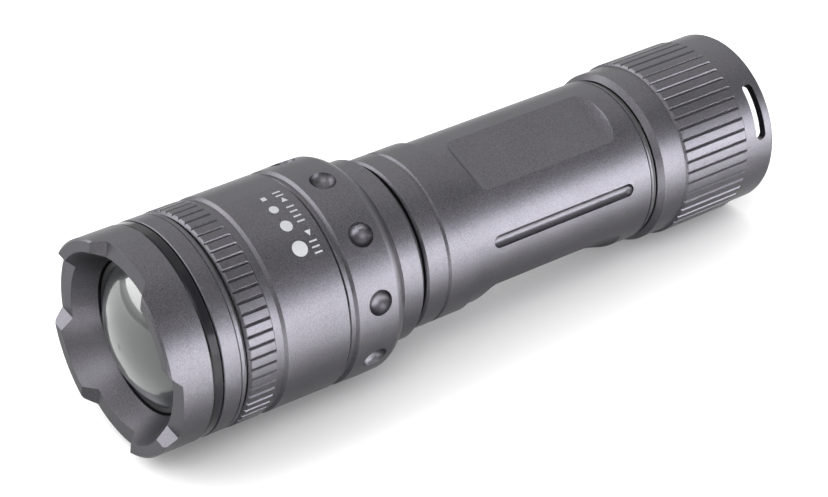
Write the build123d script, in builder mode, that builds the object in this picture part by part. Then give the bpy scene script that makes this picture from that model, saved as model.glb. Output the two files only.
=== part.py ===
from build123d import *
import os
from math import atan2, copysign, cos, radians, sin

# Handheld torch with a twist-to-zoom head, modelled in millimetres.
# The torch lies along X: the beam leaves toward -X and the tail cap is at +X.
# The origin is on the centre line at mid length, and +Z is up.
# Angles around the centre line are measured from +Y toward +Z.

os.makedirs("parts", exist_ok=True)

# ---------------------------------------------------------------- driving sizes
length = 118.4

bezel_radius = 16.85
sleeve_radius = 17.05
band_radius = 17.2
neck_radius = 14.65
neck_land_radius = 13.9
tube_radius = 13.45
cap_band_radius = 14.2
cap_knurl_radius = 14.6
cap_rim_radius = 14.3

tube_bore = 11.3
barrel_bore = 14.1
running_gap = 0.05
fine_gap = 0.03

# Lengths of the outside sections, from the crown tips back to the tail.
crown_depth = 1.8
tip_to_ring = 6.9
ring_width = 1.85
ring_to_sleeve = 4.2
knurl_length = 4.95
sleeve_length = 17.85
band_length = 9.3
band_to_groove = 5.95
neck_groove_width = 1.0
tube_length = 45.9
tail_gap = 0.7
cap_length = 24.5

x_tip = -length / 2
x_crown_floor = x_tip + crown_depth
x_ring = x_tip + tip_to_ring
x_ring_end = x_ring + ring_width
x_sleeve = x_ring_end + ring_to_sleeve
x_knurl_end = x_sleeve + knurl_length
x_sleeve_end = x_sleeve + sleeve_length
glide_gap = 0.25
x_collar = x_sleeve_end + glide_gap
x_band_end = x_collar + band_length
x_neck_end = x_band_end + band_to_groove
x_tube = x_neck_end + neck_groove_width
x_tube_end = x_tube + tube_length
x_cap = x_tube_end + tail_gap
x_tail = x_cap + cap_length
x_bezel_end = x_sleeve - 0.3

# Zoom: a quarter turn of the sleeve draws the lens back by the zoom travel.
zoom_turn = 90
zoom_travel = 6.0
pin_angles = [30, 150, 270]

# Push switch at the tail.
button_travel = 1.5


# ---------------------------------------------------------------- shared shapes
def turned(outline, mode=Mode.ADD):
    """Revolve a closed outline of (x, radius) points about the centre line."""
    with BuildSketch(Plane.XZ) as profile:
        with BuildLine():
            Polyline(*outline, close=True)
        make_face()
    revolve(profile.sketch, axis=Axis.X, mode=mode)


def ring(x_start, x_end, inner, outer, mode=Mode.ADD):
    """Plain ring between two stations."""
    turned([(x_start, inner), (x_start, outer), (x_end, outer), (x_end, inner)], mode)


def round_ring(x_centre, centre_radius, section_radius):
    """O-ring of round section."""
    with BuildSketch(Plane.XZ) as section:
        with Locations((x_centre, centre_radius)):
            Circle(section_radius)
    revolve(section.sketch, axis=Axis.X)


def outward(angle):
    """Plane through the centre line whose normal points outward at the angle."""
    return Plane(origin=(0, 0, 0), x_dir=(1, 0, 0), z_dir=(0, cos(radians(angle)), sin(radians(angle))))


def lengthwise(angle):
    """Plane that holds the centre line, with its local y pointing outward at the angle."""
    return Plane(origin=(0, 0, 0), x_dir=(1, 0, 0), z_dir=(0, -sin(radians(angle)), cos(radians(angle))))


def at(x, radius, angle):
    """Point at a station, a radius and an angle around the centre line."""
    return (x, radius * cos(radians(angle)), radius * sin(radians(angle)))


def straight_knurl(x_start, x_end, radius, count, width, depth):
    """Cut evenly spaced lengthwise V grooves in the part that is being made."""
    with BuildSketch(Plane.YZ.offset(x_start)) as grooves:
        with PolarLocations(radius, count):
            Polygon((-depth, 0), (0, -width / 2), (depth, 0), (0, width / 2))
    extrude(grooves.sketch, amount=x_end - x_start, mode=Mode.SUBTRACT)


def coil(x_start, x_end, start_radius, end_radius, turns, wire):
    """Wire spring wound about the centre line."""
    span = x_end - x_start
    with BuildLine() as path:
        Helix(
            pitch=span / turns,
            height=span,
            radius=start_radius,
            center=(x_start, 0, 0),
            direction=(1, 0, 0),
            cone_angle=cone_of(start_radius, end_radius, span),
        )
    with BuildSketch(Plane(origin=path.line @ 0, z_dir=path.line % 0)) as section:
        Circle(wire / 2)
    sweep(section.sketch, path=path.line, is_frenet=True)


def cone_of(start_radius, end_radius, span):
    """Half angle of the cone that a tapered spring follows."""
    direction = Vector(span, end_radius - start_radius)
    angle = direction.get_angle(Vector(1, 0))
    return angle if end_radius > start_radius else -angle


def dome_arc(x_rim, rim_radius, x_top):
    """Arc from the rim to the top of a ball-shaped dome on the centre line."""
    sag = x_top - x_rim
    side = copysign(1, sag)
    ball = (rim_radius ** 2 + sag ** 2) / (2 * abs(sag))
    x_centre = x_top - side * ball
    half = atan2(rim_radius, side * (x_rim - x_centre)) / 2
    middle = (x_centre + side * ball * cos(half), ball * sin(half))
    ThreePointArc((x_rim, rim_radius), middle, (x_top, 0))


def save(part, name):
    """Label a finished piece and write it as one STEP file."""
    part.label = name
    export_step(part, f"parts/{name}.step")


# ---------------------------------------------------------------- bezel
crown_inner = 14.9
throat_radius = 12.2
x_throat = x_tip + 5.4
throat_wall = 1.0
bezel_bore = 15.3
ring_seat = 16.0
hairline = 0.15
x_bezel_hairline = x_bezel_end - 1.1
notch_count = 4
first_notch = 101.5
notch_floor_half = 17.5
notch_mouth_half = 25.0

with BuildPart() as bezel:
    turned([
        (x_tip, crown_inner),
        (x_tip, bezel_radius - 0.3),
        (x_tip + 0.3, bezel_radius),
        (x_ring - 0.12, bezel_radius),
        (x_ring, bezel_radius - 0.12),
        (x_ring, ring_seat),
        (x_ring_end, ring_seat),
        (x_ring_end, bezel_radius - 0.12),
        (x_ring_end + 0.12, bezel_radius),
        (x_bezel_hairline, bezel_radius),
        (x_bezel_hairline, bezel_radius - hairline),
        (x_bezel_hairline + hairline, bezel_radius - hairline),
        (x_bezel_hairline + hairline, bezel_radius),
        (x_bezel_end - 0.35, bezel_radius),
        (x_bezel_end, bezel_radius - 0.35),
        (x_bezel_end, bezel_bore),
        (x_throat + throat_wall, bezel_bore),
        (x_throat + throat_wall, throat_radius),
        (x_throat, throat_radius),
    ])
    for index in range(notch_count):
        notch_angle = first_notch + index * 360 / notch_count
        floor_half = bezel_radius * sin(radians(notch_floor_half))
        mouth_half = bezel_radius * sin(radians(notch_mouth_half))
        with BuildSketch(outward(notch_angle)) as notch:
            with BuildLine():
                Polyline(
                    (x_crown_floor, -floor_half),
                    (x_crown_floor, floor_half),
                    (x_tip - 0.2, mouth_half),
                    (x_tip - 0.2, -mouth_half),
                    close=True,
                )
            make_face()
        extrude(notch.sketch, amount=bezel_radius + 1, mode=Mode.SUBTRACT)
save(bezel.part, "bezel")

with BuildPart() as bezel_ring:
    turned([
        (x_ring, ring_seat),
        (x_ring, bezel_radius - 0.3),
        (x_ring + 0.3, bezel_radius - 0.12),
        (x_ring_end - 0.3, bezel_radius - 0.12),
        (x_ring_end, bezel_radius - 0.3),
        (x_ring_end, ring_seat),
    ])
save(bezel_ring.part, "bezel_ring")

# ---------------------------------------------------------------- inner barrel
barrel_radius = 15.5
barrel_thread = bezel_bore - running_gap
barrel_tail_radius = 14.9
x_barrel = x_throat + throat_wall + 0.1
x_barrel_end = x_collar + 7.75
x_pin = x_tip + 15.9
pin_radius = 0.9
slot_width = 2.0

with BuildPart() as barrel:
    turned([
        (x_barrel, barrel_bore),
        (x_barrel, barrel_thread),
        (x_bezel_end, barrel_thread),
        (x_bezel_end, barrel_radius),
        (x_collar - 0.05, barrel_radius),
        (x_collar - 0.05, barrel_tail_radius),
        (x_barrel_end, barrel_tail_radius),
        (x_barrel_end, barrel_bore),
    ])
    for angle in pin_angles:
        with BuildSketch(outward(angle)) as guide_slot:
            with Locations((x_pin + zoom_travel / 2, 0)):
                SlotOverall(zoom_travel + 2.2, slot_width)
        extrude(guide_slot.sketch, amount=barrel_radius + 1, mode=Mode.SUBTRACT)
save(barrel.part, "barrel")

# ---------------------------------------------------------------- zoom sleeve
sleeve_bore = barrel_radius + running_gap
knurl_radius = 16.95
land_radius = 16.55
cam_floor = 16.15
cam_overrun = 4.5
knurl_count = 62
knurl_width = 0.52
knurl_depth = 0.3

with BuildPart() as zoom_sleeve:
    turned([
        (x_sleeve, sleeve_bore),
        (x_sleeve, knurl_radius - 0.5),
        (x_sleeve + 0.4, knurl_radius),
        (x_knurl_end - 0.3, knurl_radius),
        (x_knurl_end, land_radius),
        (x_knurl_end + 1.3, land_radius),
        (x_knurl_end + 1.75, sleeve_radius - 0.05),
        (x_sleeve_end - 0.25, sleeve_radius),
        (x_sleeve_end, sleeve_radius - 0.25),
        (x_sleeve_end, sleeve_bore),
    ])
    straight_knurl(x_sleeve - 0.1, x_knurl_end + 0.1, knurl_radius, knurl_count, knurl_width, knurl_depth)
    lead = zoom_travel * 360 / zoom_turn
    cam_height = zoom_travel * (zoom_turn + 2 * cam_overrun) / zoom_turn
    cam_start = x_pin - zoom_travel * cam_overrun / zoom_turn
    for angle in pin_angles:
        cam_base = Plane(origin=(cam_start, 0, 0), x_dir=at(0, 1, angle + cam_overrun), z_dir=(1, 0, 0))
        cam_helix = Helix(pitch=lead, height=cam_height, radius=sleeve_bore, lefthand=True)
        cam = cam_base.from_local_coords(cam_helix)
        with BuildSketch(Plane(origin=cam @ 0, x_dir=cam_base.x_dir, z_dir=cam % 0)) as cam_section:
            Rectangle(2 * (cam_floor - sleeve_bore), slot_width)
        sweep(cam_section.sketch, path=cam, is_frenet=True, mode=Mode.SUBTRACT)
save(zoom_sleeve.part, "zoom_sleeve")

glide_thickness = 0.15
glide_inner = sleeve_bore + 0.05
glide_outer = 16.35

with BuildPart() as glide_rings:
    ring(x_bezel_end, x_bezel_end + glide_thickness, glide_inner, glide_outer)
    ring(x_collar - glide_thickness, x_collar, glide_inner, glide_outer)
save(glide_rings.part, "glide_rings")

# ---------------------------------------------------------------- head collar
collar_bore = barrel_tail_radius + running_gap
neck_bore = 12.4
front_ring_radius = 16.6
x_dimples = x_collar + 5.15
dimple_count = 10
first_dimple = 99
dimple_radius = 2.1
dimple_lift = 0.45

with BuildPart() as head_collar:
    with BuildSketch(Plane.XZ) as collar_profile:
        with BuildLine():
            Polyline(
                (x_neck_end, neck_bore),
                (x_barrel_end + 0.1, neck_bore),
                (x_barrel_end + 0.1, collar_bore),
                (x_collar, collar_bore),
                (x_collar, front_ring_radius - 0.15),
                (x_collar + 0.15, front_ring_radius),
                (x_collar + 0.85, front_ring_radius),
                (x_collar + 1.25, band_radius - 0.1),
                (x_dimples, band_radius),
                (x_band_end - 1.0, band_radius - 0.05),
            )
            ThreePointArc(
                (x_band_end - 1.0, band_radius - 0.05),
                (x_band_end + 0.25, band_radius - 0.65),
                (x_band_end + 1.1, neck_radius + 1.0),
            )
            Polyline(
                (x_band_end + 1.1, neck_radius + 1.0),
                (x_band_end + 2.0, neck_radius + 0.05),
                (x_neck_end - 0.5, neck_radius),
                (x_neck_end, neck_radius - 0.5),
                (x_neck_end, neck_bore),
            )
        make_face()
    revolve(collar_profile.sketch, axis=Axis.X)
    for index in range(dimple_count):
        dimple_angle = first_dimple + index * 360 / dimple_count
        with Locations(at(x_dimples, band_radius + dimple_lift, dimple_angle)):
            Sphere(dimple_radius, mode=Mode.SUBTRACT)
save(head_collar.part, "head_collar")

# ---------------------------------------------------------------- lens group
lens_radius = 11.0
lens_edge = 2.4
lens_sag = 4.0
lens_bevel = 0.35
gasket_section = 0.5
carrier_radius = barrel_bore - running_gap
retainer_radius = 11.95
x_lens = x_throat
x_lens_back = x_lens + lens_edge
x_seat = x_lens_back + 2 * gasket_section
x_carrier = x_throat + throat_wall + 0.4
x_carrier_end = x_pin + 1.5
carrier_mouth_radius = 12.6
seat_bore = 10.0

with BuildPart() as lens:
    with BuildSketch(Plane.XZ) as lens_profile:
        with BuildLine():
            dome_arc(x_lens, lens_radius - lens_bevel, x_lens - lens_sag)
            Polyline(
                (x_lens, lens_radius - lens_bevel),
                (x_lens + 0.25, lens_radius),
                (x_lens_back, lens_radius),
                (x_lens_back, 0),
                (x_lens - lens_sag, 0),
            )
        make_face()
    revolve(lens_profile.sketch, axis=Axis.X)
save(lens.part, "lens")

with BuildPart() as lens_retainer:
    turned([
        (x_lens + 0.25, lens_radius + fine_gap),
        (x_lens + 0.25, retainer_radius - 0.15),
        (x_lens + 0.4, retainer_radius),
        (x_seat - fine_gap, retainer_radius),
        (x_seat - fine_gap, lens_radius + fine_gap),
    ])
save(lens_retainer.part, "lens_retainer")

with BuildPart() as lens_gasket:
    round_ring(x_lens_back + gasket_section, lens_radius - gasket_section, gasket_section)
save(lens_gasket.part, "lens_gasket")

with BuildPart() as lens_carrier:
    turned([
        (x_carrier, retainer_radius + 0.05),
        (x_carrier, carrier_radius),
        (x_carrier_end, carrier_radius),
        (x_carrier_end, carrier_mouth_radius),
        (x_seat + 1.0, seat_bore),
        (x_seat, seat_bore),
        (x_seat, retainer_radius + 0.05),
    ])
    for angle in pin_angles:
        with BuildSketch(outward(angle)) as pin_hole:
            with Locations((x_pin, 0)):
                Circle(pin_radius)
        extrude(pin_hole.sketch, amount=barrel_radius, mode=Mode.SUBTRACT)
save(lens_carrier.part, "lens_carrier")

pin_foot = 12.3
pin_tip = cam_floor - 0.1

with BuildPart() as guide_pins:
    for angle in pin_angles:
        with BuildSketch(outward(angle).offset(pin_foot)) as pin_section:
            with Locations((x_pin, 0)):
                Circle(pin_radius)
        extrude(pin_section.sketch, amount=pin_tip - pin_foot)
save(guide_pins.part, "guide_pins")

# ---------------------------------------------------------------- lamp and driver
x_pill = x_barrel_end - 12.4
pill_radius = barrel_bore - running_gap
pill_wall = 3.0
x_pill_end = x_barrel_end + 0.1
pocket_radius = 11.7
board_radius = 8.5
board_thickness = 1.6
emitter_size = 5.0
emitter_thickness = 0.8
dome_radius = 2.3
screw_offset = 6.4
wire_offset = 5.2
wire_radius = 0.45
wire_hole_radius = 0.8
screw_shank_radius = 0.8
screw_hole_radius = 1.1
screw_head_radius = 1.7
screw_head_height = 1.0
wire_angles = [90, 270]
screw_angles = [0, 180]
x_board = x_pill - board_thickness
x_driver = x_pill + 7.6
driver_thickness = 1.2

with BuildPart() as led_pill:
    ring(x_pill, x_pill_end, 0, pill_radius)
    with BuildSketch(Plane.YZ.offset(x_pill_end)) as pocket:
        Circle(pocket_radius)
    extrude(pocket.sketch, amount=x_pill + pill_wall - x_pill_end, mode=Mode.SUBTRACT)
    with BuildSketch(Plane.YZ.offset(x_pill)) as pill_holes:
        for angle in wire_angles:
            with PolarLocations(wire_offset, 1, start_angle=angle):
                Circle(wire_hole_radius)
        for angle in screw_angles:
            with PolarLocations(screw_offset, 1, start_angle=angle):
                Circle(screw_shank_radius)
    extrude(pill_holes.sketch, amount=pill_wall, mode=Mode.SUBTRACT)
save(led_pill.part, "led_pill")

with BuildPart() as led_board:
    with BuildSketch(Plane.YZ.offset(x_board)) as board_outline:
        Circle(board_radius)
        for angle in wire_angles:
            with PolarLocations(wire_offset, 1, start_angle=angle):
                Circle(wire_hole_radius, mode=Mode.SUBTRACT)
        for angle in screw_angles:
            with PolarLocations(screw_offset, 1, start_angle=angle):
                Circle(screw_hole_radius, mode=Mode.SUBTRACT)
    extrude(board_outline.sketch, amount=board_thickness)
save(led_board.part, "led_board")

with BuildPart() as led_emitter:
    with BuildSketch(Plane.YZ.offset(x_board - emitter_thickness)) as package:
        RectangleRounded(emitter_size, emitter_size, 0.4)
    extrude(package.sketch, amount=emitter_thickness)
save(led_emitter.part, "led_emitter")

with BuildPart() as led_dome:
    with BuildSketch(Plane.XZ) as dome_half:
        with Locations((x_board - emitter_thickness, 0)):
            Circle(dome_radius)
        with Locations((x_board - emitter_thickness - dome_radius, dome_radius)):
            Rectangle(2 * dome_radius, 2 * dome_radius, mode=Mode.INTERSECT)
    revolve(dome_half.sketch, axis=Axis.X)
save(led_dome.part, "led_dome")

with BuildPart() as led_screws:
    for angle in screw_angles:
        with BuildSketch(Plane.YZ.offset(x_board - screw_head_height)) as screw_head:
            with PolarLocations(screw_offset, 1, start_angle=angle):
                Circle(screw_head_radius)
        extrude(screw_head.sketch, amount=screw_head_height)
        with BuildSketch(Plane.YZ.offset(x_board)) as screw_shank:
            with PolarLocations(screw_offset, 1, start_angle=angle):
                Circle(screw_shank_radius)
        extrude(screw_shank.sketch, amount=board_thickness + 2.6)
        with BuildSketch(Plane.YZ.offset(x_board - screw_head_height)) as screw_slot:
            with PolarLocations(screw_offset, 1, start_angle=angle):
                Rectangle(2.4, 0.45)
        extrude(screw_slot.sketch, amount=0.5, mode=Mode.SUBTRACT)
save(led_screws.part, "led_screws")

with BuildPart() as led_wires:
    for angle in wire_angles:
        wire_top = x_board - 0.9
        with BuildLine() as wire_route:
            FilletPolyline(
                at(x_driver, wire_offset, angle),
                at(wire_top, wire_offset, angle),
                at(wire_top, emitter_size / 2 + 0.7, angle),
                radius=0.8,
            )
        with BuildSketch(Plane(origin=wire_route.line @ 0, z_dir=wire_route.line % 0)) as wire_section:
            Circle(wire_radius)
        sweep(wire_section.sketch, path=wire_route.line)
save(led_wires.part, "led_wires")

with BuildPart() as driver_board:
    ring(x_driver, x_driver + driver_thickness, 0, pocket_radius - running_gap)
save(driver_board.part, "driver_board")

with BuildPart() as driver_components:
    with BuildSketch(Plane.YZ.offset(x_driver)) as inductor:
        with Locations((5.6, 2.2)):
            RectangleRounded(4.0, 4.0, 0.5)
    extrude(inductor.sketch, amount=-2.2)
    with BuildSketch(Plane.YZ.offset(x_driver)) as controller:
        with Locations((-5.4, -1.6)):
            Rectangle(3.9, 4.9)
    extrude(controller.sketch, amount=-1.5)
    with BuildSketch(Plane.YZ.offset(x_driver)) as chips:
        with Locations((-1.8, 2.6), (-6.6, 3.4), (6.0, -2.6)):
            Rectangle(2.0, 1.2)
    extrude(chips.sketch, amount=-0.6)
save(driver_components.part, "driver_components")

# ---------------------------------------------------------------- battery cartridge
cell_radius = 5.15
cell_length = 44.5
cell_pitch_radius = 5.95
cell_angles = [90, 210, 330]
cell_names = ["cell_top", "cell_left", "cell_right"]
plate_radius = 11.0
plate_thickness = 1.5
cell_room = 46.3
x_cartridge = x_barrel_end + 5.1
x_cells = x_cartridge + plate_thickness
x_rear_plate = x_cells + cell_room
x_cartridge_end = x_rear_plate + plate_thickness
strut_pitch_radius = 9.3
strut_radius = 1.35
cell_nub = 0.9
nub_radius = 1.9
pad_radius = 3.4
pad_thickness = 0.1
contact_spring_outer = 2.6
contact_spring_inner = 1.9
contact_spring_height = 1.5

with BuildPart() as cartridge_frame:
    ring(x_cartridge, x_cells, 0, plate_radius)
    ring(x_rear_plate, x_cartridge_end, 0, plate_radius)
    with BuildSketch(Plane.YZ.offset(x_cells)) as struts:
        with PolarLocations(strut_pitch_radius, 3, start_angle=30):
            Circle(strut_radius)
    extrude(struts.sketch, amount=cell_room)
save(cartridge_frame.part, "cartridge_frame")

for name, angle in zip(cell_names, cell_angles):
    with BuildPart() as cell:
        with BuildSketch(Plane.YZ.offset(x_cells + 1.0)) as can:
            with PolarLocations(cell_pitch_radius, 1, start_angle=angle):
                Circle(cell_radius)
        extrude(can.sketch, amount=cell_length - cell_nub)
        with BuildSketch(Plane.YZ.offset(x_cells + 1.0 - cell_nub)) as nub:
            with PolarLocations(cell_pitch_radius, 1, start_angle=angle):
                Circle(nub_radius)
        extrude(nub.sketch, amount=cell_nub)
    save(cell.part, name)

with BuildPart() as cell_contacts:
    for x_face, direction in ((x_cells, 1), (x_rear_plate, -1)):
        with BuildSketch(Plane.YZ.offset(x_face)) as pads:
            with PolarLocations(cell_pitch_radius, 3, start_angle=cell_angles[0]):
                Circle(pad_radius)
        extrude(pads.sketch, amount=direction * pad_thickness)
    with BuildSketch(Plane.YZ.offset(x_rear_plate - pad_thickness)) as springs:
        with PolarLocations(cell_pitch_radius, 3, start_angle=cell_angles[0]):
            Circle(contact_spring_outer)
            Circle(contact_spring_inner, mode=Mode.SUBTRACT)
    extrude(springs.sketch, amount=-contact_spring_height)
save(cell_contacts.part, "cell_contacts")

with BuildPart() as cartridge_terminals:
    ring(x_cartridge - 0.5, x_cartridge, 0, 2.6)
    ring(x_cartridge_end, x_cartridge_end + 0.3, 3.0, 6.8)
save(cartridge_terminals.part, "cartridge_terminals")

contact_wire = 0.6

with BuildPart() as driver_spring:
    ring(x_driver + driver_thickness, x_driver + driver_thickness + 0.4, 0, 3.2)
    coil(x_driver + driver_thickness + 0.65, x_cartridge - 0.5 - 0.5, 2.9, 1.6, 4, contact_wire)
save(driver_spring.part, "driver_spring")

# ---------------------------------------------------------------- body tube
tube_thread = 12.35
tail_thread = 12.5
thread_pitch = 1.0
thread_depth = 0.35
thread_length = 7.6
x_groove = x_tube + 3.8
x_step = x_tube + 10.05
x_hairline = x_tube_end - 0.75
x_tube_tip = x_barrel_end + 0.2
x_thread = x_cap + 0.6
x_thread_end = x_thread + thread_length

flat_count = 3
first_flat = 111.5
flat_half_angle = 23.5
flat_depth = tube_radius * (1 - cos(radians(flat_half_angle)))
flat_cutter = 2.6
flat_start = x_tube + 13.0
flat_end = flat_start + 28.5
flat_run_out = (2 * flat_cutter * flat_depth - flat_depth ** 2) ** 0.5

first_grip_slot = 170.5
grip_slot_radius = 1.075
grip_slot_start = x_tube + 13.3
grip_slot_end = grip_slot_start + 28.15
grip_slot_lift = 0.1


def thread_outline(x_start, radius):
    """Outline points of parallel thread ridges that stand for the screw thread."""
    points = []
    for turn in range(int(thread_length / thread_pitch)):
        x_ridge = x_start + turn * thread_pitch
        points.append((x_ridge + 0.15, radius))
        points.append((x_ridge + 0.45, radius))
        points.append((x_ridge + 0.7, radius - thread_depth))
        points.append((x_ridge + 0.9, radius - thread_depth))
    return points


with BuildPart() as body_tube:
    turned([
        (x_tube_tip, tube_bore),
        (x_tube_tip, tube_thread - 0.2),
        (x_tube_tip + 0.2, tube_thread),
        (x_tube, tube_thread),
        (x_tube, neck_land_radius - 0.4),
        (x_tube + 0.35, neck_land_radius),
        (x_groove, neck_land_radius),
        (x_groove + 0.1, neck_land_radius - 0.35),
        (x_groove + 0.4, neck_land_radius - 0.35),
        (x_groove + 0.75, neck_land_radius),
        (x_step - 0.3, neck_land_radius),
        (x_step, tube_radius),
        (x_hairline, tube_radius),
        (x_hairline + 0.03, tube_radius - hairline),
        (x_hairline + 0.17, tube_radius - hairline),
        (x_hairline + 0.2, tube_radius),
        (x_tube_end - 0.2, tube_radius),
        (x_tube_end, tube_radius - 0.2),
        (x_tube_end, tail_thread),
        *thread_outline(x_thread, tail_thread),
        (x_thread_end + 0.2, tail_thread - thread_depth),
        (x_thread_end + 0.2, tube_bore),
    ])
    for index in range(flat_count):
        flat_angle = first_flat + index * 360 / flat_count
        flat_radius = tube_radius - flat_depth
        cutter_radius = flat_radius + flat_cutter
        x_first = flat_start + flat_run_out
        x_last = flat_end - flat_run_out
        with BuildSketch(lengthwise(flat_angle)) as flat_profile:
            with BuildLine():
                Line((x_first, flat_radius), (x_last, flat_radius))
                CenterArc((x_last, cutter_radius), flat_cutter, 270, 90)
                Line((x_last + flat_cutter, cutter_radius), (x_first - flat_cutter, cutter_radius))
                CenterArc((x_first, cutter_radius), flat_cutter, 180, 90)
            make_face()
        extrude(flat_profile.sketch, amount=tube_radius / 2, both=True, mode=Mode.SUBTRACT)
        slot_angle = first_grip_slot + index * 360 / flat_count
        slot_radius = tube_radius + grip_slot_lift
        slot_top = slot_radius + grip_slot_radius
        x_slot_front = grip_slot_start + grip_slot_radius
        x_slot_rear = grip_slot_end - grip_slot_radius
        with BuildSketch(lengthwise(slot_angle)) as slot_half:
            with BuildLine():
                Line((grip_slot_start, slot_radius), (grip_slot_end, slot_radius))
                CenterArc((x_slot_rear, slot_radius), grip_slot_radius, 0, 90)
                Line((x_slot_rear, slot_top), (x_slot_front, slot_top))
                CenterArc((x_slot_front, slot_radius), grip_slot_radius, 90, 90)
            make_face()
        revolve(slot_half.sketch, axis=Axis(at(0, slot_radius, slot_angle), (1, 0, 0)), mode=Mode.SUBTRACT)
save(body_tube.part, "body_tube")

neck_seal_section = 0.44
tail_seal_section = 0.33

with BuildPart() as neck_o_ring:
    round_ring(x_neck_end + neck_groove_width / 2, tube_thread + neck_seal_section, neck_seal_section)
save(neck_o_ring.part, "neck_o_ring")

with BuildPart() as tail_o_ring:
    round_ring(x_tube_end + tail_gap / 2, tail_thread + tail_seal_section, tail_seal_section)
save(tail_o_ring.part, "tail_o_ring")

# ---------------------------------------------------------------- tail cap
cap_thread = tail_thread + running_gap + 0.05
cap_cavity = 12.0
x_cap_knurl = x_cap + 5.4
x_cap_rim = x_cap_knurl + 13.2
x_web = x_tail - 6.4
web_thickness = 1.6
boot_opening = 8.2
recess_radius = 12.95
recess_chamfer = 0.15
cap_knurl_count = 50
cap_knurl_width = 0.52
cap_knurl_depth = 0.3
rim_round = 0.35
strap_slot_width = 2.0
strap_slot_angle = 150.5
strap_slot_half = 15.5
strap_slot_inner = 11.0
strap_slot_outer = 16.0
x_strap_slot = x_tail - 2.6

with BuildPart() as tail_cap:
    with BuildSketch(Plane.XZ) as cap_profile:
        with BuildLine():
            Polyline(
                (x_cap, cap_thread),
                (x_cap, tube_radius - 0.1),
                (x_cap + 0.9, cap_band_radius),
                (x_cap_knurl - 0.1, cap_band_radius),
                (x_cap_knurl + 0.25, cap_knurl_radius),
                (x_cap_rim - 0.25, cap_knurl_radius),
                (x_cap_rim + 0.05, cap_rim_radius),
                (x_tail - rim_round, cap_rim_radius),
            )
            CenterArc((x_tail - rim_round, cap_rim_radius - rim_round), rim_round, 0, 90)
            Polyline(
                (x_tail, cap_rim_radius - rim_round),
                (x_tail, recess_radius + recess_chamfer),
                (x_tail - recess_chamfer, recess_radius),
                (x_web + web_thickness, recess_radius),
                (x_web + web_thickness, boot_opening),
                (x_web, boot_opening),
                (x_web, cap_cavity),
                (x_thread_end + 0.5, cap_cavity),
                (x_thread_end + 0.5, cap_thread),
                (x_cap, cap_thread),
            )
        make_face()
    revolve(cap_profile.sketch, axis=Axis.X)
    straight_knurl(
        x_cap_knurl - 0.1,
        x_cap_rim + 0.1,
        cap_knurl_radius,
        cap_knurl_count,
        cap_knurl_width,
        cap_knurl_depth,
    )
    for slot_centre in (strap_slot_angle, strap_slot_angle + 180):
        slot_start = slot_centre - strap_slot_half
        slot_end = slot_centre + strap_slot_half
        with BuildSketch(Plane.YZ.offset(x_strap_slot - strap_slot_width / 2)) as strap_slot:
            with BuildLine():
                Line(at(0, strap_slot_inner, slot_start)[1:], at(0, strap_slot_outer, slot_start)[1:])
                CenterArc((0, 0), strap_slot_outer, slot_start, 2 * strap_slot_half)
                Line(at(0, strap_slot_outer, slot_end)[1:], at(0, strap_slot_inner, slot_end)[1:])
                CenterArc((0, 0), strap_slot_inner, slot_start, 2 * strap_slot_half)
            make_face()
        extrude(strap_slot.sketch, amount=strap_slot_width, mode=Mode.SUBTRACT)
        for angle in (slot_start, slot_end):
            with BuildSketch(outward(angle).offset(strap_slot_inner)) as round_end:
                with Locations((x_strap_slot, 0)):
                    Circle(strap_slot_width / 2)
            extrude(round_end.sketch, amount=strap_slot_outer - strap_slot_inner, mode=Mode.SUBTRACT)
save(tail_cap.part, "tail_cap")

# ---------------------------------------------------------------- tail switch
boot_ring_thickness = 1.0
boot_ring_inner = 8.5
housing_length = 4.8
housing_radius = 5.4
plunger_radius = 2.9
plunger_bore = 3.1
x_boot_ring = x_web - boot_ring_thickness
x_housing = x_boot_ring - housing_length
x_tail_board = x_housing - 1.2
x_retainer = x_tail_board - 2.0
tail_retainer_bore = 9.0

with BuildPart() as boot_ring:
    ring(x_boot_ring, x_web, boot_ring_inner, cap_cavity - running_gap)
save(boot_ring.part, "boot_ring")

with BuildPart() as switch_carrier:
    ring(x_housing, x_housing + 1.2, housing_radius, cap_cavity - running_gap)
    ring(x_housing + 1.2, x_boot_ring, boot_ring_inner, cap_cavity - running_gap)
save(switch_carrier.part, "switch_carrier")

with BuildPart() as switch_housing:
    ring(x_housing, x_boot_ring, 0, housing_radius)
    ring(x_housing + 1.4, x_boot_ring, 0, plunger_bore, mode=Mode.SUBTRACT)
save(switch_housing.part, "switch_housing")

boot_radius = boot_opening - 0.2
boot_wall = 1.0
boot_straight = 1.9
x_boot = x_web + 0.2
x_boot_top = x_tail - 1.6
x_boss = x_boot_top - boot_wall - 0.8
x_plunger = x_housing + 1.4 + button_travel + 0.4

with BuildPart() as switch_plunger:
    ring(x_plunger, x_boot + 1.0, 0, plunger_radius)
    ring(x_boot + 1.0, x_boss - running_gap, 0, plunger_radius - 0.5)
save(switch_plunger.part, "switch_plunger")

with BuildPart() as switch_boot:
    with BuildSketch(Plane.XZ) as boot_profile:
        with BuildLine():
            Polyline(
                (x_boot, boot_radius - boot_wall),
                (x_boot, boot_radius),
                (x_boot + boot_straight, boot_radius),
            )
            dome_arc(x_boot + boot_straight, boot_radius, x_boot_top)
            Polyline(
                (x_boot_top, 0),
                (x_boss, 0),
                (x_boss, plunger_radius),
                (x_boot + boot_straight - 0.2, boot_radius - boot_wall),
                (x_boot, boot_radius - boot_wall),
            )
        make_face()
    revolve(boot_profile.sketch, axis=Axis.X)
save(switch_boot.part, "switch_boot")

with BuildPart() as tail_board:
    ring(x_tail_board, x_housing, 0, cap_cavity - running_gap)
save(tail_board.part, "tail_board")

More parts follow.
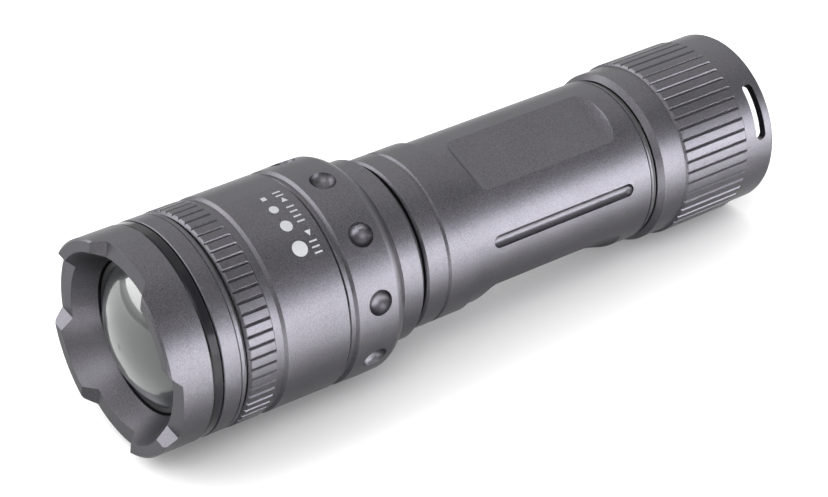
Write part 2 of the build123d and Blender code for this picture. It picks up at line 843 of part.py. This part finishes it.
with BuildPart() as tail_retainer:
    ring(x_retainer, x_tail_board, tail_retainer_bore, cap_cavity - running_gap)
    with BuildSketch(Plane.YZ.offset(x_retainer)) as spanner_notches:
        with PolarLocations(tail_retainer_bore + 0.6, 2, start_angle=0):
            Rectangle(2.2, 1.6)
    extrude(spanner_notches.sketch, amount=1.0, mode=Mode.SUBTRACT)
save(tail_retainer.part, "tail_retainer")

with BuildPart() as tail_spring:
    ring(x_tail_board - 0.3, x_tail_board, 0, 6.0)
    coil(x_cartridge_end + 0.3 + 0.5, x_tail_board - 0.5, 4.8, 5.6, 5, 0.8)
save(tail_spring.part, "tail_spring")
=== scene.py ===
from math import cos, pi, radians, sin

import bmesh
import bpy
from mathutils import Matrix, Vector


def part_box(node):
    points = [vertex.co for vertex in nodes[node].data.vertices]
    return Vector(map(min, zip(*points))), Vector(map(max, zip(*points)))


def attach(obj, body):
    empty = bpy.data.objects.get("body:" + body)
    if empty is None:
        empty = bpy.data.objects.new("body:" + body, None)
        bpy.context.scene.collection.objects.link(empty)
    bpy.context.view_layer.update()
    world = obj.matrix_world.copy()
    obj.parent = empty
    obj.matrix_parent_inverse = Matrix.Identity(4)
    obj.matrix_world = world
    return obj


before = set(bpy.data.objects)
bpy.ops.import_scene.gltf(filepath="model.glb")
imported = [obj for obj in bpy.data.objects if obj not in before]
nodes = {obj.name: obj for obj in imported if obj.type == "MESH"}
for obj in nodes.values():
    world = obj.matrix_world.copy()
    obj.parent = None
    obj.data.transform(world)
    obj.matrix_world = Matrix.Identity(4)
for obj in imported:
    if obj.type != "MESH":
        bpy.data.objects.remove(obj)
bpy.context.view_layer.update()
scene = bpy.context.scene
MM = 0.001

# ------------------------------------------------------------------ camera
CAMERA_AZIMUTH = -37.16
CAMERA_ELEVATION = 31.09
CAMERA_DISTANCE = 0.4039
CAMERA_TARGET = Vector((-3.72, 0.44, -3.35)) * MM
CAMERA_LENS = 112.2
SENSOR_WIDTH = 36.0
CLIP_START = 0.01
CLIP_END = 20


def compass(azimuth, elevation):
    """Unit vector towards a point seen from the object: azimuth 0 is -Y, 90 is +X."""
    azimuth = radians(azimuth)
    elevation = radians(elevation)
    return Vector((sin(azimuth) * cos(elevation), -cos(azimuth) * cos(elevation), sin(elevation)))


def link(item):
    scene.collection.objects.link(item)
    return item


def add_camera():
    """Camera that looks at the torch from its lens end, from above."""
    back = compass(CAMERA_AZIMUTH, CAMERA_ELEVATION)
    data = bpy.data.cameras.new("camera")
    data.lens = CAMERA_LENS
    data.sensor_width = SENSOR_WIDTH
    data.clip_start = CLIP_START
    data.clip_end = CLIP_END
    camera = link(bpy.data.objects.new("camera", data))
    camera.location = CAMERA_TARGET + back * CAMERA_DISTANCE
    camera.rotation_euler = back.to_track_quat("Z", "Y").to_euler()
    scene.camera = camera


add_camera()

# ------------------------------------------------------------------ lights
WORLD_STRENGTH = 2.2
HORIZON_SHARE = 0.22  # brightness at the horizon, as a share of the sky's
HORIZON_TOP = 0.42  # height in the sky where the full brightness is reached
SHADE_DIRECTION = compass(43, 42)
SHADE_DEPTH = 0.55
SHADE_EDGE = 0.82  # cosine of the angle where the dim patch starts
SHADE_CORE = 0.99  # cosine of the angle where it is dimmest
WASH_SPREAD = 16


def add_area_light(name, azimuth, elevation, distance, width, height, radiance, color=(1, 1, 1)):
    """Softbox that faces the object, with its brightness given as radiance."""
    data = bpy.data.lights.new(name, "AREA")
    data.shape = "RECTANGLE"
    data.size = width
    data.size_y = height
    data.energy = radiance * pi * width * height
    data.color = color
    away = compass(azimuth, elevation)
    light = link(bpy.data.objects.new(name, data))
    light.location = away * distance
    light.rotation_euler = away.to_track_quat("Z", "Y").to_euler()


def add_floor_wash(name, place, width, depth, power):
    """Softbox with a grid, which brightens one stretch of floor beneath it."""
    data = bpy.data.lights.new(name, "AREA")
    data.shape = "RECTANGLE"
    data.size = width
    data.size_y = depth
    data.energy = power
    data.spread = radians(WASH_SPREAD)
    light = link(bpy.data.objects.new(name, data))
    light.location = place


def add_sun(name, azimuth, elevation, strength, width):
    """Broad distant light, whose shadow falls behind the object as the camera sees it."""
    data = bpy.data.lights.new(name, "SUN")
    data.energy = strength
    data.angle = radians(width)
    light = link(bpy.data.objects.new(name, data))
    light.rotation_euler = compass(azimuth, elevation).to_track_quat("Z", "Y").to_euler()


def add_world():
    """White studio, darker towards the horizon and with one dim patch above the front."""
    world = bpy.data.worlds.new("studio")
    world.use_nodes = True
    tree = world.node_tree
    background = tree.nodes["Background"]
    background.inputs["Color"].default_value = (1, 1, 1, 1)
    coordinates = tree.nodes.new("ShaderNodeTexCoord")
    facing = tree.nodes.new("ShaderNodeVectorMath")
    facing.operation = "DOT_PRODUCT"
    facing.inputs[1].default_value = SHADE_DIRECTION
    tree.links.new(coordinates.outputs["Generated"], facing.inputs[0])
    shade = tree.nodes.new("ShaderNodeMapRange")
    shade.interpolation_type = "SMOOTHSTEP"
    shade.inputs["From Min"].default_value = SHADE_EDGE
    shade.inputs["From Max"].default_value = SHADE_CORE
    shade.inputs["To Min"].default_value = WORLD_STRENGTH
    shade.inputs["To Max"].default_value = WORLD_STRENGTH * (1 - SHADE_DEPTH)
    tree.links.new(facing.outputs["Value"], shade.inputs["Value"])
    height = tree.nodes.new("ShaderNodeSeparateXYZ")
    tree.links.new(coordinates.outputs["Generated"], height.inputs[0])
    rise = tree.nodes.new("ShaderNodeMapRange")
    rise.inputs["From Min"].default_value = 0.0
    rise.inputs["From Max"].default_value = HORIZON_TOP
    rise.inputs["To Min"].default_value = HORIZON_SHARE
    rise.inputs["To Max"].default_value = 1.0
    tree.links.new(height.outputs["Z"], rise.inputs["Value"])
    product = tree.nodes.new("ShaderNodeMath")
    product.operation = "MULTIPLY"
    tree.links.new(shade.outputs["Result"], product.inputs[0])
    tree.links.new(rise.outputs["Result"], product.inputs[1])
    tree.links.new(product.outputs["Value"], background.inputs["Strength"])
    scene.world = world


add_world()
add_area_light("side_strip", 32, 5.9, 0.22, 0.3, 0.073, 12.0, (0.96, 0.96, 1.0))
add_area_light("back_wall", 230, 23, 0.9, 1.1, 0.52, 6.5)
add_sun("front_fill", -37, 50, 1.0, 30)
add_floor_wash("front_wash", (0.05, -0.159, 0.14), 0.4, 0.24, 3.6)

# ------------------------------------------------------------------ material tools


class Shading:
    """A material whose look is made of procedural nodes."""

    def __init__(self, name, color, roughness, metallic=0.0):
        self.material = bpy.data.materials.new(name)
        self.material.use_nodes = True
        self.tree = self.material.node_tree
        self.shader = self.tree.nodes["Principled BSDF"]
        self.color = color
        self.shader.inputs["Base Color"].default_value = (*color, 1)
        self.shader.inputs["Roughness"].default_value = roughness
        self.shader.inputs["Metallic"].default_value = metallic
        self.coordinates = self.tree.nodes.new("ShaderNodeTexCoord").outputs["Object"]
        self.normal = None

    def node(self, kind, **values):
        made = self.tree.nodes.new("ShaderNode" + kind)
        for key, value in values.items():
            if key in made.inputs:
                made.inputs[key].default_value = value
            else:
                setattr(made, key, value)
        return made

    def link(self, output, target):
        self.tree.links.new(output, target)
        return self

    def stretched(self, scale):
        """Object coordinates multiplied along each axis."""
        mapping = self.node("Mapping")
        mapping.inputs["Scale"].default_value = scale
        self.link(self.coordinates, mapping.inputs["Vector"])
        return mapping.outputs["Vector"]

    def noise(self, scale, detail=2.0, roughness=0.5, stretch=None):
        made = self.node("TexNoise", Scale=scale, Detail=detail, Roughness=roughness)
        self.link(self.stretched(stretch) if stretch else self.coordinates, made.inputs["Vector"])
        return made.outputs["Fac"]

    def ranged(self, value, low, high, from_low=0.3, from_high=0.7):
        made = self.node("MapRange")
        made.inputs["From Min"].default_value = from_low
        made.inputs["From Max"].default_value = from_high
        made.inputs["To Min"].default_value = low
        made.inputs["To Max"].default_value = high
        self.link(value, made.inputs["Value"])
        return made.outputs["Result"]

    def tinted(self, factor):
        """Multiply the base colour by a grey factor."""
        made = self.node("Mix", data_type="RGBA", blend_type="MULTIPLY")
        made.inputs[0].default_value = 1.0
        made.inputs[6].default_value = (*self.color, 1)
        self.link(factor, made.inputs[7])
        self.link(made.outputs[2], self.shader.inputs["Base Color"])
        return self

    def rough(self, factor):
        self.link(factor, self.shader.inputs["Roughness"])
        return self

    def bump(self, height, distance, strength=1.0):
        made = self.node("Bump", Strength=strength, Distance=distance)
        self.link(height, made.inputs["Height"])
        if self.normal is not None:
            self.link(self.normal, made.inputs["Normal"])
        self.normal = made.outputs["Normal"]
        self.link(self.normal, self.shader.inputs["Normal"])
        return self

    def soft_edges(self, radius):
        """Round the shading of sharp edges."""
        made = self.node("Bevel", samples=4, Radius=radius)
        self.normal = made.outputs["Normal"]
        self.link(self.normal, self.shader.inputs["Normal"])
        return self

    def set(self, **values):
        for key, value in values.items():
            self.shader.inputs[key.replace("_", " ")].default_value = value
        return self


def grained(name, color, roughness, metallic, grain, grain_depth, spread=0.16, wear=0.06, edge=0.0):
    """Surface with a fine even grain in colour, gloss and height, and faint broad patches."""
    made = Shading(name, color, roughness, metallic)
    if edge:
        made.soft_edges(edge)
    fine = made.noise(1 / grain, 3.0, 0.6)
    broad = made.noise(90, 3.0)
    shade = made.node("Math", operation="MULTIPLY")
    made.link(made.ranged(fine, 1 - spread, 1 + spread), shade.inputs[0])
    made.link(made.ranged(broad, 1 - wear, 1 + wear), shade.inputs[1])
    made.tinted(shade.outputs["Value"])
    made.rough(made.ranged(fine, roughness - 0.05, roughness + 0.05))
    made.bump(fine, grain_depth)
    return made


def paint(names, shading):
    """Give CAD nodes one procedural material."""
    for name in names:
        nodes[name].data.materials.clear()
        nodes[name].data.materials.append(shading.material)


# ------------------------------------------------------------------ materials
ANODISED = (0.062, 0.060, 0.067)
anodised = grained("anodised_gunmetal", ANODISED, 0.38, 1.0, 0.00022, 0.000012, spread=0.28, edge=0.00008)
anodised.set(Specular_Tint=(0.85, 0.85, 0.85, 1))
paint(["bezel", "zoom_sleeve", "head_collar", "body_tube", "tail_cap"], anodised)

gloss_black = grained("gloss_black_ring", (0.004, 0.004, 0.005), 0.16, 0.0, 0.0012, 0.000004, edge=0.00012)
gloss_black.set(Specular_IOR_Level=0.1)
paint(["bezel_ring"], gloss_black)

bare = grained("bare_aluminium", (0.72, 0.72, 0.74), 0.3, 1.0, 0.0004, 0.000006, edge=0.00005)
paint(["tail_retainer"], bare)

black_metal = grained("black_anodised", (0.012, 0.012, 0.013), 0.35, 0.6, 0.0003, 0.000006)
paint(["lens_retainer", "lens_carrier"], black_metal)
paint(["barrel"], grained("dark_bore", (0.035, 0.04, 0.04), 0.5, 0.8, 0.0015, 0.000002, spread=0.05))

nylon = grained("black_nylon", (0.012, 0.012, 0.013), 0.5, 0.0, 0.0005, 0.00001)
paint(["glide_rings", "switch_carrier", "switch_plunger"], nylon)

rubber = grained("rubber", (0.008, 0.008, 0.009), 0.6, 0.0, 0.0003, 0.00002)
paint(["neck_o_ring", "tail_o_ring", "lens_gasket", "switch_boot"], rubber)

acrylic = Shading("lens_acrylic", (0.035, 0.043, 0.042), 0.3)
acrylic.set(Transmission_Weight=0.7, IOR=1.49, Coat_Weight=1.0, Coat_IOR=1.5, Coat_Roughness=0.0)
acrylic.rough(acrylic.ranged(acrylic.noise(400, 2.0), 0.28, 0.32))
paint(["lens"], acrylic)

silicone = Shading("silicone_dome", (1.0, 0.97, 0.85), 0.05)
silicone.set(Transmission_Weight=1.0, IOR=1.41)
silicone.bump(silicone.noise(1500), 0.000005)
paint(["led_dome"], silicone)

paint(["led_emitter"], grained("phosphor", (0.85, 0.68, 0.12), 0.7, 0.0, 0.0002, 0.00001))
paint(["led_board"], grained("dark_solder_mask", (0.03, 0.042, 0.04), 0.35, 0.0, 0.0008, 0.000005))
paint(["driver_board", "tail_board"],
      grained("green_solder_mask", (0.01, 0.12, 0.035), 0.3, 0.0, 0.0009, 0.000005))
paint(["led_pill"], grained("brass", (0.7, 0.5, 0.22), 0.3, 1.0, 0.0004, 0.000006, edge=0.00005))
paint(["led_screws", "guide_pins", "boot_ring"],
      grained("steel", (0.55, 0.55, 0.56), 0.3, 1.0, 0.0004, 0.000006))
paint(["driver_spring", "tail_spring"],
      grained("spring_steel", (0.66, 0.65, 0.62), 0.25, 1.0, 0.0005, 0.000004))
paint(["cell_contacts", "cartridge_terminals"],
      grained("nickel", (0.72, 0.7, 0.66), 0.2, 1.0, 0.0006, 0.000004))
paint(["led_wires"], grained("wire_insulation", (0.45, 0.02, 0.02), 0.45, 0.0, 0.0004, 0.000006))
paint(["driver_components", "cartridge_frame", "switch_housing"],
      grained("component_black", (0.015, 0.015, 0.016), 0.4, 0.0, 0.0004, 0.00001))
paint(["cell_top", "cell_left", "cell_right"],
      grained("cell_jacket", (0.4, 0.42, 0.45), 0.3, 0.2, 0.002, 0.000005))

# ------------------------------------------------------------------ floor
FLOOR_HALF_WIDTH = 3.0
HEAD_LOW, HEAD_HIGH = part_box("head_collar")
CAP_LOW, CAP_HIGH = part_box("tail_cap")


def add_floor():
    """Pale floor that the head and the tail cap both touch."""
    head_x = (HEAD_LOW.x + HEAD_HIGH.x) / 2
    slope = (CAP_LOW.z - HEAD_LOW.z) / (CAP_HIGH.x - head_x)
    mesh = bpy.data.meshes.new("floor")
    work = bmesh.new()
    half = FLOOR_HALF_WIDTH
    corners = [(-half, -half), (half, -half), (half, half), (-half, half)]
    work.faces.new([work.verts.new((x, y, HEAD_LOW.z + slope * (x - head_x))) for x, y in corners])
    work.to_mesh(mesh)
    work.free()
    floor = link(bpy.data.objects.new("floor", mesh))
    paper = Shading("floor_paper", (0.56, 0.56, 0.56), 0.9)
    paper.tinted(paper.ranged(paper.noise(40), 0.99, 1.01))
    floor.data.materials.append(paper.material)


add_floor()

# ------------------------------------------------------------------ printed marks on the zoom ring
SLEEVE_LOW, SLEEVE_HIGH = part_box("zoom_sleeve")
PRINT_RADIUS = (SLEEVE_HIGH.z - SLEEVE_LOW.z) / 2
PRINT_THICKNESS = 0.02 * MM
DOTS_X = SLEEVE_HIGH.x - 4.75 * MM
TRIANGLES_X = SLEEVE_HIGH.x - 2.2 * MM


def on_sleeve(x, around, lift):
    """Point on the sleeve: around is degrees from the top towards the front."""
    angle = radians(around)
    radius = PRINT_RADIUS + lift
    return Vector((x, -radius * sin(angle), radius * cos(angle)))


def add_mark(name, outlines):
    """Thin printed film. Each outline is a list of (x, degrees around) corners, in order."""
    mesh = bpy.data.meshes.new(name)
    work = bmesh.new()
    for outline in outlines:
        top = [work.verts.new(on_sleeve(x, around, PRINT_THICKNESS)) for x, around in outline]
        bottom = [work.verts.new(on_sleeve(x, around, -PRINT_THICKNESS)) for x, around in outline]
        count = len(outline)
        middle_x = sum(x for x, around in outline) / count
        middle_around = sum(around for x, around in outline) / count
        top_middle = work.verts.new(on_sleeve(middle_x, middle_around, PRINT_THICKNESS))
        bottom_middle = work.verts.new(on_sleeve(middle_x, middle_around, -PRINT_THICKNESS))
        for here in range(count):
            after = (here + 1) % count
            work.faces.new([top[here], top[after], top_middle])
            work.faces.new([bottom[after], bottom[here], bottom_middle])
            work.faces.new([top[after], top[here], bottom[here], bottom[after]])
    bmesh.ops.recalc_face_normals(work, faces=work.faces)
    work.to_mesh(mesh)
    work.free()
    mark = link(bpy.data.objects.new(name, mesh))
    mark.data.materials.append(print_white.material)
    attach(mark, "zoom_ring")


def degrees_of(length):
    """Angle on the sleeve that a length around it takes."""
    return length / PRINT_RADIUS * 180 / pi


def disc(x, around, radius, count=40):
    turns = [2 * pi * step / count for step in range(count)]
    return [(x + radius * cos(turn), around + degrees_of(radius * sin(turn))) for turn in turns]


def block(x, around, long, wide):
    half = degrees_of(wide) / 2
    return [(x - long / 2, around - half), (x + long / 2, around - half),
            (x + long / 2, around + half), (x - long / 2, around + half)]


def triangle(x, around, wide, tall):
    """Triangle whose tip points to larger angles, or to smaller ones when tall is negative."""
    return [(x - wide / 2, around), (x + wide / 2, around), (x, around + degrees_of(tall))]


print_white = grained("printed_white", (0.2, 0.204, 0.21), 0.55, 0.0, 0.0002, 0.000006, spread=0.06)
add_mark("zoom_dots", [
    block(DOTS_X, 6.9, 0.8 * MM, 0.8 * MM),
    disc(DOTS_X, 15.9, 0.74 * MM),
    disc(DOTS_X, 27.3, 0.96 * MM),
    disc(DOTS_X, 40.8, 1.24 * MM),
])
add_mark("zoom_arrows", [
    triangle(TRIANGLES_X, 13.2, 1.05 * MM, -0.95 * MM),
    triangle(TRIANGLES_X, 33.2, 1.05 * MM, 0.95 * MM),
])
TICKS_AROUND = (5.2, 8.2, 17.4, 20.7, 24.0, 27.3, 39.4, 42.5, 45.6)
TICK_LENGTH = 1.3 * MM
TICK_WIDTH = 0.26 * MM
add_mark("zoom_ticks", [block(TRIANGLES_X, around, TICK_LENGTH, TICK_WIDTH) for around in TICKS_AROUND])

# ------------------------------------------------------------------ picture
scene.view_settings.view_transform = "Standard"
